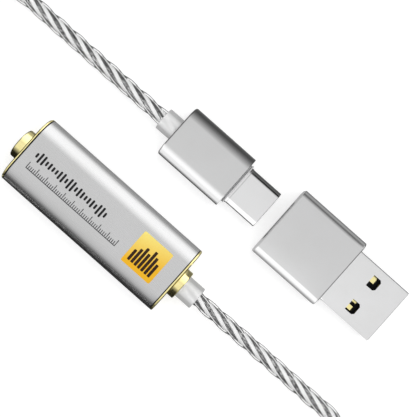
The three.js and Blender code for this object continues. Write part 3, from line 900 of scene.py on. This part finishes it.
def make_plug_insert():
    """The black moulding behind the plug's opening, with its thin upper and lower liners."""
    low, high = span("c_plug_insert")
    x0, x1 = high.x - 0.2, span("c_plug_shell")[1].x - 0.35
    y0, y1 = PLUG_Y - LINER["half"], PLUG_Y + LINER["half"]
    upper = slab(x0, x1, y0, y1, PLUG_Z + LINER["near"], PLUG_Z + LINER["far"])
    lower = slab(x0, x1, y0, y1, PLUG_Z - LINER["far"], PLUG_Z - LINER["near"])
    shape = merged(prism(low.x, high.x, stadium(*INSERT), PLUG_Y, PLUG_Z), upper, lower)
    return piece("plug_insert", *shape, BLACK, "converter", "black_plastic", ["c_plug_insert"])


def finger(x0, x1, y, z0, z1, dip):
    """A contact finger along X whose free end, at x1, bends by dip and comes to a narrow nose."""
    bend, nose, half = x0 + 0.8 * (x1 - x0), x1 - 0.12, FINGER_HALF
    rings = []
    for x, wide, drop in ((x0, half, 0), (bend, half, 0), (nose, half * 0.8, dip), (x1, half * 0.45, dip)):
        rings.append([
            (x, y - wide, z0 + drop), (x, y + wide, z0 + drop),
            (x, y + wide, z1 + drop), (x, y - wide, z1 + drop),
        ])
    return skin(rings, closed=False)


def contact_row(name, node, x0, x1, dip, body):
    """Separate contact fingers in the place of the CAD's comb."""
    low, high = span(node)
    fingers = [
        finger(x0, x1, PLUG_Y + (i - (FINGERS - 1) / 2) * FINGER_PITCH, low.z, high.z, dip)
        for i in range(FINGERS)
    ]
    return piece(name, *merged(*fingers), CONTACT, body, "contact_gold", [node])


plug_case = make_plug_case()
plug_collar = make_collar()
plug_shell = make_plug_shell()
plug_insert = make_plug_insert()
for row, inward in (("top", -1), ("bottom", 1)):
    contact_row(
        f"plug_fingers_{row}", f"c_plug_contacts_{row}", span("c_plug_insert")[1].x - 0.1,
        span("c_plug_shell")[1].x - 0.6, inward * FINGER_DIP, "converter",
    )

# ------------ USB-C to USB-A adapter

ADAPTER = (ADAPTER_HIGH.y - ADAPTER_LOW.y, ADAPTER_HIGH.z - ADAPTER_LOW.z, 1.45)
ADAPTER_WALL = 0.8
ADAPTER_INNER_CORNER = 0.8
ADAPTER_FACE = 1.2
FACE_ROUND = 0.12
TAIL_ROUND = 0.32
SOCKET = (9.1, 3.25)
SOCKET_WALL = 0.3
SOCKET_FLARE = 0.12
SOCKET_BASE = (8.2, 2.35)
MOUTH_GAP = 0.15
MOUTH_FLARE = 0.25
TONGUE = {"half": 3.345, "thick": 0.7, "edge": 0.16}
SHELF = {"half": 3.0, "thick": 1.24, "length": 1.0, "edge": 0.1}
USB_A = (12.0, 4.5, 0.45)
USB_A_WALL = 0.3
USB_A_TIP = span("usb_a_shell")[1].x
WINDOW = {"x": USB_A_TIP - 6.25, "offset": 3.0, "length": 2.0, "width": 2.5, "corner": 0.42}
# Heights in the USB-A shell: the tongue's groove floor and top, the black ledge in front of the bends
# that paints shade over the contacts there, and the contacts behind the bend, in front of it and at the tip.
GROOVE_Z = PLUG_Z - 0.28
TONGUE_Z = PLUG_Z - 0.05
SHADE_LEDGE_LOW, SHADE_LEDGE_HIGH = PLUG_Z - 0.08, PLUG_Z + 0.10
CONTACT_HIGH, CONTACT_LOW, CONTACT_TIP = PLUG_Z + 0.10, PLUG_Z - 0.10, PLUG_Z - 0.20
CONTACT_SHEET = 0.15
BACK_X = USB_A_TIP - 11.65
BEND_X = USB_A_TIP - 6.03
# Each USB-A contact's edges across, behind its bend and in front of it, and how far its tip is from the
# shell's.
USB_A_CONTACTS = [
    ((-3.84, -2.92), (-4.0, -3.0), 1.55),
    ((-2.18, -0.50), (-1.5, -0.5), 2.55),
    ((0.50, 1.50), (0.5, 1.5), 2.55),
    ((2.90, 4.22), (3.0, 4.0), 1.55),
]
FRAME_CORNER = 0.7
FRAME_HOLE = (12.3, 4.8, 0.55)


def make_adapter_case():
    x0, x1 = ADAPTER_LOW.x, ADAPTER_HIGH.x
    mouth, wider = grown(SOCKET, MOUTH_GAP), grown(SOCKET, MOUTH_FLARE)
    cavity = rounded(ADAPTER[0] - 2 * ADAPTER_WALL, ADAPTER[1] - 2 * ADAPTER_WALL, ADAPTER_INNER_CORNER)
    lines = ended(x0, 1, ADAPTER, FACE_ROUND, 2)
    lines += reversed(ended(x1, -1, ADAPTER, TAIL_ROUND, 5))
    lines += [(x1, cavity), (x0 + ADAPTER_FACE, cavity)]
    lines += [(x0 + ADAPTER_FACE, mouth), (x0 + 0.1, mouth), (x0, wider)]
    shape = hollow(lines, PLUG_Y, PLUG_Z)
    piece("adapter_case", *shape, POLISHED, "adapter", "polished_aluminium", ["adapter_housing"])


def make_socket():
    """The USB-C socket: its steel shell, its tongue with a base and a shelf, and two rows of contacts."""
    low, high = span("c_socket_shell")
    inside, flared = grown(SOCKET, -SOCKET_WALL), grown(SOCKET, SOCKET_FLARE - SOCKET_WALL)
    lines = ended(low.x, 1, (*SOCKET, SOCKET[1] / 2), 0.08, 2)
    lines += [(high.x, stadium(*SOCKET)), (high.x, inside), (low.x + 0.2, inside), (low.x, flared)]
    shape = hollow(lines, PLUG_Y, PLUG_Z)
    piece("socket_shell", *shape, STEEL, "adapter", "steel_shell", ["c_socket_shell"])

    low, high = span("c_socket_tongue")
    root = span("c_socket_contacts_top")[1].x + 0.1
    parts = [prism(root, high.x, stadium(*SOCKET_BASE), PLUG_Y, PLUG_Z)]
    front = root + 0.1 - SHELF["length"]
    for x0, x1, size in ((low.x, root + 0.2, TONGUE), (front, root + 0.1, SHELF)):
        y, z = size["half"], size["thick"] / 2
        parts.append(slab(x0, x1, PLUG_Y - y, PLUG_Y + y, PLUG_Z - z, PLUG_Z + z, size["edge"]))
    piece("socket_tongue", *merged(*parts), BLACK, "adapter", "black_plastic", ["c_socket_tongue"])
    for row in ("top", "bottom"):
        name, node = f"socket_contacts_{row}_row", f"c_socket_contacts_{row}"
        contact_row(name, node, root - 0.2, low.x + 0.5, 0, "adapter")


def window_cutter():
    """A prism through both walls for each window, with the window's two front corners cut off."""
    x0, x1 = WINDOW["x"] - WINDOW["length"] / 2, WINDOW["x"] + WINDOW["length"] / 2
    half, corner = WINDOW["width"] / 2, WINDOW["corner"]
    prisms = []
    for middle in (PLUG_Y - WINDOW["offset"], PLUG_Y + WINDOW["offset"]):
        y0, y1 = middle - half, middle + half
        outline = [(x0, y0), (x1 - corner, y0), (x1, y0 + corner)]
        outline += [(x1, y1 - corner), (x1 - corner, y1), (x0, y1)]
        rings = [[(x, y, z) for x, y in outline] for z in (PLUG_Z - USB_A[1], PLUG_Z + USB_A[1])]
        prisms.append(skin(rings, closed=False))
    return placed("window_cutter", closed_mesh("window_cutter", *merged(*prisms)))


def make_usb_a():
    """The steel shell, with two windows cut through its upper and lower walls."""
    low, high = span("usb_a_shell")
    inside, flared = (
        rounded(USB_A[0] - 2 * wall, USB_A[1] - 2 * wall, corner)
        for wall, corner in ((USB_A_WALL, 0.25), (USB_A_WALL - 0.15, 0.35))
    )
    lines = [(low.x, rounded(*USB_A))]
    lines += reversed(ended(high.x, -1, USB_A, 0.09, 3))
    lines += [(high.x, flared), (high.x - 0.3, inside), (low.x, inside)]
    shape = hollow(lines, PLUG_Y, PLUG_Z)
    shell = piece("usb_a_sleeve", *shape, STEEL, "adapter", "steel_shell", ["usb_a_shell"])
    cutter = window_cutter()
    cut = shell.modifiers.new("windows", "BOOLEAN")
    cut.operation = "DIFFERENCE"
    cut.solver = "EXACT"
    cut.object = cutter
    ready = bpy.data.meshes.new_from_object(shell.evaluated_get(bpy.context.evaluated_depsgraph_get()))
    shell.modifiers.clear()
    shell.data = ready
    soften(shell, 30)
    bpy.data.objects.remove(cutter)


def make_usb_a_tongue():
    """The black moulding, with a groove under each contact and a black ledge in front of the bends that
    paints shade over the contacts just past their bends.
    """
    low, high = span("usb_a_insulator")
    half = (high.y - low.y) / 2

    def across(x0, x1, z0, z1, edge):
        return slab(x0, x1, PLUG_Y - half, PLUG_Y + half, z0, z1, edge)

    parts = [
        across(low.x, BACK_X, low.z, high.z, 0.08),
        across(BACK_X - 0.5, high.x, low.z, GROOVE_Z, 0.08),
        # Painted shade: a black bar over the contacts just past their bends, where the windows look dark.
        across(BEND_X + 0.08, BEND_X + 1.0, SHADE_LEDGE_LOW, SHADE_LEDGE_HIGH, 0.04),
        across(BACK_X - 0.5, BEND_X - 1.6, GROOVE_Z - 0.1, TONGUE_Z, 0.05),
    ]
    edges = [-half]
    for _, (near, far), _ in USB_A_CONTACTS:
        edges += [near - 0.06, far + 0.06]
    edges.append(half)
    for near, far in zip(edges[::2], edges[1::2]):
        rib = (BEND_X + 0.9, high.x, PLUG_Y + near, PLUG_Y + far, GROOVE_Z - 0.1, TONGUE_Z, 0.05)
        parts.append(slab(*rib))
    piece("usb_a_tongue", *merged(*parts), BLACK, "adapter", "black_plastic", ["usb_a_insulator"])


def make_usb_a_contact(number, rear, front, from_tip):
    """A bent strip of sheet. rear and front are its edges across, behind its bend and in front of it."""
    tip = USB_A_TIP - from_tip
    rings = []
    for x, (near, far), top in (
        (BACK_X, rear, CONTACT_HIGH), (BEND_X, rear, CONTACT_HIGH), (BEND_X + 0.55, front, CONTACT_LOW),
        (tip - 0.25, front, CONTACT_LOW), (tip, front, CONTACT_TIP),
    ):
        y0, y1, foot = PLUG_Y + near, PLUG_Y + far, top - CONTACT_SHEET
        rings.append([(x, y0, foot), (x, y1, foot), (x, y1, top), (x, y0, top)])
    name, node = f"usb_a_pin_{number}", f"usb_a_contact_{number}"
    piece(name, *skin(rings, closed=False), CONTACT, "adapter", "contact_gold", [node])


def make_end_frame():
    """The black frame that closes the adapter round the USB-A shell."""
    low, high = span("adapter_end_frame")
    outer, hole = (high.y - low.y, high.z - low.z, FRAME_CORNER), rounded(*FRAME_HOLE)
    lines = [(low.x, rounded(*outer))]
    lines += reversed(ended(high.x, -1, outer, 0.1, 2))
    lines += [(high.x, hole), (low.x, hole)]
    shape = hollow(lines, PLUG_Y, PLUG_Z)
    piece("adapter_frame", *shape, BLACK, "adapter", "black_plastic", ["adapter_end_frame"])


make_adapter_case()
make_socket()
make_usb_a()
make_usb_a_tongue()
for number, facts in enumerate(USB_A_CONTACTS, 1):
    make_usb_a_contact(number, *facts)
make_end_frame()

# ------------ finishes on the CAD nodes that stay

SLOT_FINISH = {
    "black_plastic": BLACK, "contact_gold": CONTACT, "board_green": BOARD, "chip_black": CHIP,
    "can_metal": CAN, "tantalum": TANTALUM,
}
for row in frame["record"]["subparts"]:
    kept = frame["nodes"][row["node"]]
    if kept.hide_render:
        continue
    finish = CORE_SKINS.get(row["node"]) or SLOT_FINISH[row["material_slot"]]
    kept.data.materials.clear()
    kept.data.materials.append(finish)

# ------------ floor, light and reflecting cards

FLOOR_SIZE = 6.0
FLOOR_DROP = 0.00002
LAMP_PLACE = Vector((0.15, 0.25, 0.55))
LAMP_AIM = Vector((0.01, 0.01, 0.0))


def plane(name, corners, material):
    mesh = bpy.data.meshes.new(name)
    mesh.from_pydata([Vector(c) for c in corners], [], [(0, 1, 2, 3)])
    mesh.materials.append(material)
    made = placed(name, mesh)
    return made


def glow(name, base, strength, **sockets):
    """A dull grey surface that gives off white light."""
    paint = Paint(name, Specular_IOR_Level=0.0, Emission_Strength=strength, **sockets)
    paint.shader.inputs["Base Color"].default_value = grey(base)
    paint.shader.inputs["Emission Color"].default_value = grey(1.0)
    return paint


def make_floor():
    far, down = FLOOR_SIZE, -FLOOR_DROP
    corners = [(-far, -far, down), (far, -far, down), (far, far, down), (-far, far, down)]
    floor = plane("floor", corners, glow("floor", 0.55, 0.62, Roughness=0.9).material)
    floor.visible_glossy = False


def make_card(name, corners, level, fade=()):
    """A glowing card that only shows in reflections. Corners in millimetres. fade is (height, share of
    level) stops, with height from 0 at its foot to 1 at its top."""
    paint = glow(name, 0.0, level, Roughness=1.0)
    if fade:
        where = paint.node("TexCoord").outputs["Generated"]
        height = paint.node("SeparateXYZ", [("Vector", where)]).outputs["Z"]
        paint.feed("Emission Color", paint.graded(height, fade))
    card = plane(name, [Vector(c) * MM for c in corners], paint.material)
    for kind in ("camera", "diffuse", "transmission", "shadow", "volume_scatter"):
        setattr(card, "visible_" + kind, False)


def upright_card(name, x0, x1, y, z0, z1, level, fade=()):
    make_card(name, [(x0, y, z0), (x1, y, z0), (x1, y, z1), (x0, y, z1)], level, fade)


def flat_card(name, x0, x1, y0, y1, z, level):
    make_card(name, [(x0, y0, z), (x1, y0, z), (x1, y1, z), (x0, y1, z)], level)


# How bright the studio is, by degrees down from straight overhead.
TOWARDS_FRONT = [
    (0, 1.0), (34, 0.92), (50, 0.86), (61, 0.73), (72, 0.50), (84, 0.18), (98, 0.07), (125, 0.03),
    (160, 0.05), (180, 0.30),
]
TOWARDS_ENDS = [
    (0, 1.0), (10, 1.0), (20, 0.90), (45, 0.86), (60, 0.60), (74, 0.05), (106, 0.05), (118, 0.38),
    (150, 0.58), (180, 0.68),
]
TOWARDS_BACK = [
    (0, 1.0), (10, 0.86), (28, 0.62), (47, 0.42), (67, 0.22), (90, 0.10), (121, 0.12), (150, 0.28),
    (180, 0.45),
]


class Dome(Paint):
    """The world's node tree, with the same helpers as a material's."""

    def __init__(self, name):
        world = bpy.data.worlds.new(name)
        bpy.context.scene.world = world
        world.use_nodes = True
        self.nodes, self.links = world.node_tree.nodes, world.node_tree.links
        self.shader = self.nodes["Background"]


def make_world():
    """A soft dome, pale above and dark round the horizon. The camera sees plain white."""
    dome = Dome("dome")
    way = dome.node("SeparateXYZ", [("Vector", dome.node("TexCoord").outputs["Generated"])]).outputs
    down = dome.node("Math", [(0, way["Z"])], operation="ARCCOSINE").outputs[0]
    down = dome.node("Math", [(0, down), (1, math.pi)], operation="DIVIDE").outputs[0]
    level = dome.node("CombineXYZ", [("X", way["X"]), ("Y", way["Y"])]).outputs[0]
    level = dome.node("VectorMath", [(0, level)], operation="NORMALIZE").outputs[0]
    across = dome.node("SeparateXYZ", [("Vector", level)]).outputs["Y"]
    front, ends, back = (
        dome.graded(down, [(turn / 180, share) for turn, share in stops])
        for stops in (TOWARDS_FRONT, TOWARDS_ENDS, TOWARDS_BACK)
    )
    shade = dome.blend(dome.spread(across, 0, 1, 0.25, 0.85), ends, back)
    shade = dome.blend(dome.spread(across, 1, 0, -0.85, -0.25), shade, front)
    seen = dome.node("LightPath").outputs["Is Camera Ray"]
    dome.feed("Color", dome.blend(seen, shade, grey(1.0)))


def make_softbox():
    data = bpy.data.lights.new("softbox", "AREA")
    data.shape = "SQUARE"
    data.size = 0.5
    data.energy = 1.6
    lamp = placed("softbox", data)
    lamp.location = LAMP_PLACE
    lamp.rotation_euler = (LAMP_AIM - LAMP_PLACE).to_track_quat("-Z", "Y").to_euler()
    lamp.visible_camera = False
    lamp.visible_glossy = False


make_floor()
make_world()
make_softbox()
# Between the two rows, a bright card lights the converter's +Y shoulder and the plug's -Y shoulder. Its
# foot is grey, as the table is.
upright_card(
    "card_middle", -45, 75, 11, 0, 60, 1.65,
    [
        (0.0, 0.26), (0.085, 0.30), (0.115, 0.66), (0.14, 0.95), (0.22, 1.0), (0.28, 0.90), (0.40, 0.75),
        (0.66, 0.61), (1.0, 0.55),
    ],
)
# Close above the adapter's front edge, a second one.
upright_card("card_adapter_front", 25, 42.4, 12.9, 8.5, 46, 1.65)
# Lower ones near the plug's front edge and the USB-C shell's.
upright_card("card_plug", -3, 15.2, 13, 3.8, 8, 1.35, [(0.0, 0.45), (0.4, 1.0), (1.0, 1.0)])
upright_card("card_shell", 15.6, 23.4, 14.5, 2.7, 9, 1.35)
# Past the adapter, a mid-grey one keeps its back edge light.
upright_card(
    "card_adapter_back", 25, 42.4, 35, 0, 16, 0.55,
    [(0.0, 0.3), (0.16, 0.45), (0.26, 0.95), (0.52, 1.0), (0.60, 0.42), (0.80, 0.36), (1.0, 0.7)],
)
# Round the USB-A shell, white ones as bright as its top keep its long edges from showing dark lines.
for y, foot in ((12.9, 0), (35, 6.5)):
    upright_card("card_usb_a", 42.5, 60, y, foot, 46, 0.95)
flat_card("card_usb_a_foot", 41.6, 54.5, 8, 15.3, 0.1, 0.95)
# Past the end plates' corners and beyond the jack, dark ones draw the converter's outer edges, and one
# over the USB-C tip draws the dark line along it.
upright_card("card_corner", 19.8, 45, 10.5, 0, 8, 0.18)
flat_card("card_jack_end", -42, -22.5, -12, 14, 0.1, 0.03)
flat_card("card_tip", 15.8, 24.6, 29, 42, 12, 0.02)
# In front of the barrel and the gland, cards that are black at the foot and white at the top.
upright_card(
    "card_barrel", -26, -19.4, -5, 0, 13, 1.0,
    [(0.0, 0.012), (0.55, 0.012), (0.64, 0.16), (0.80, 0.6), (0.92, 0.9), (1.0, 1.0)],
)
upright_card(
    "card_gland", 19.2, 26, -14, 0, 26, 1.0,
    [(0.0, 0.01), (0.48, 0.04), (0.66, 0.30), (1.0, 0.90)],
)

bpy.context.scene.view_settings.view_transform = "Standard"
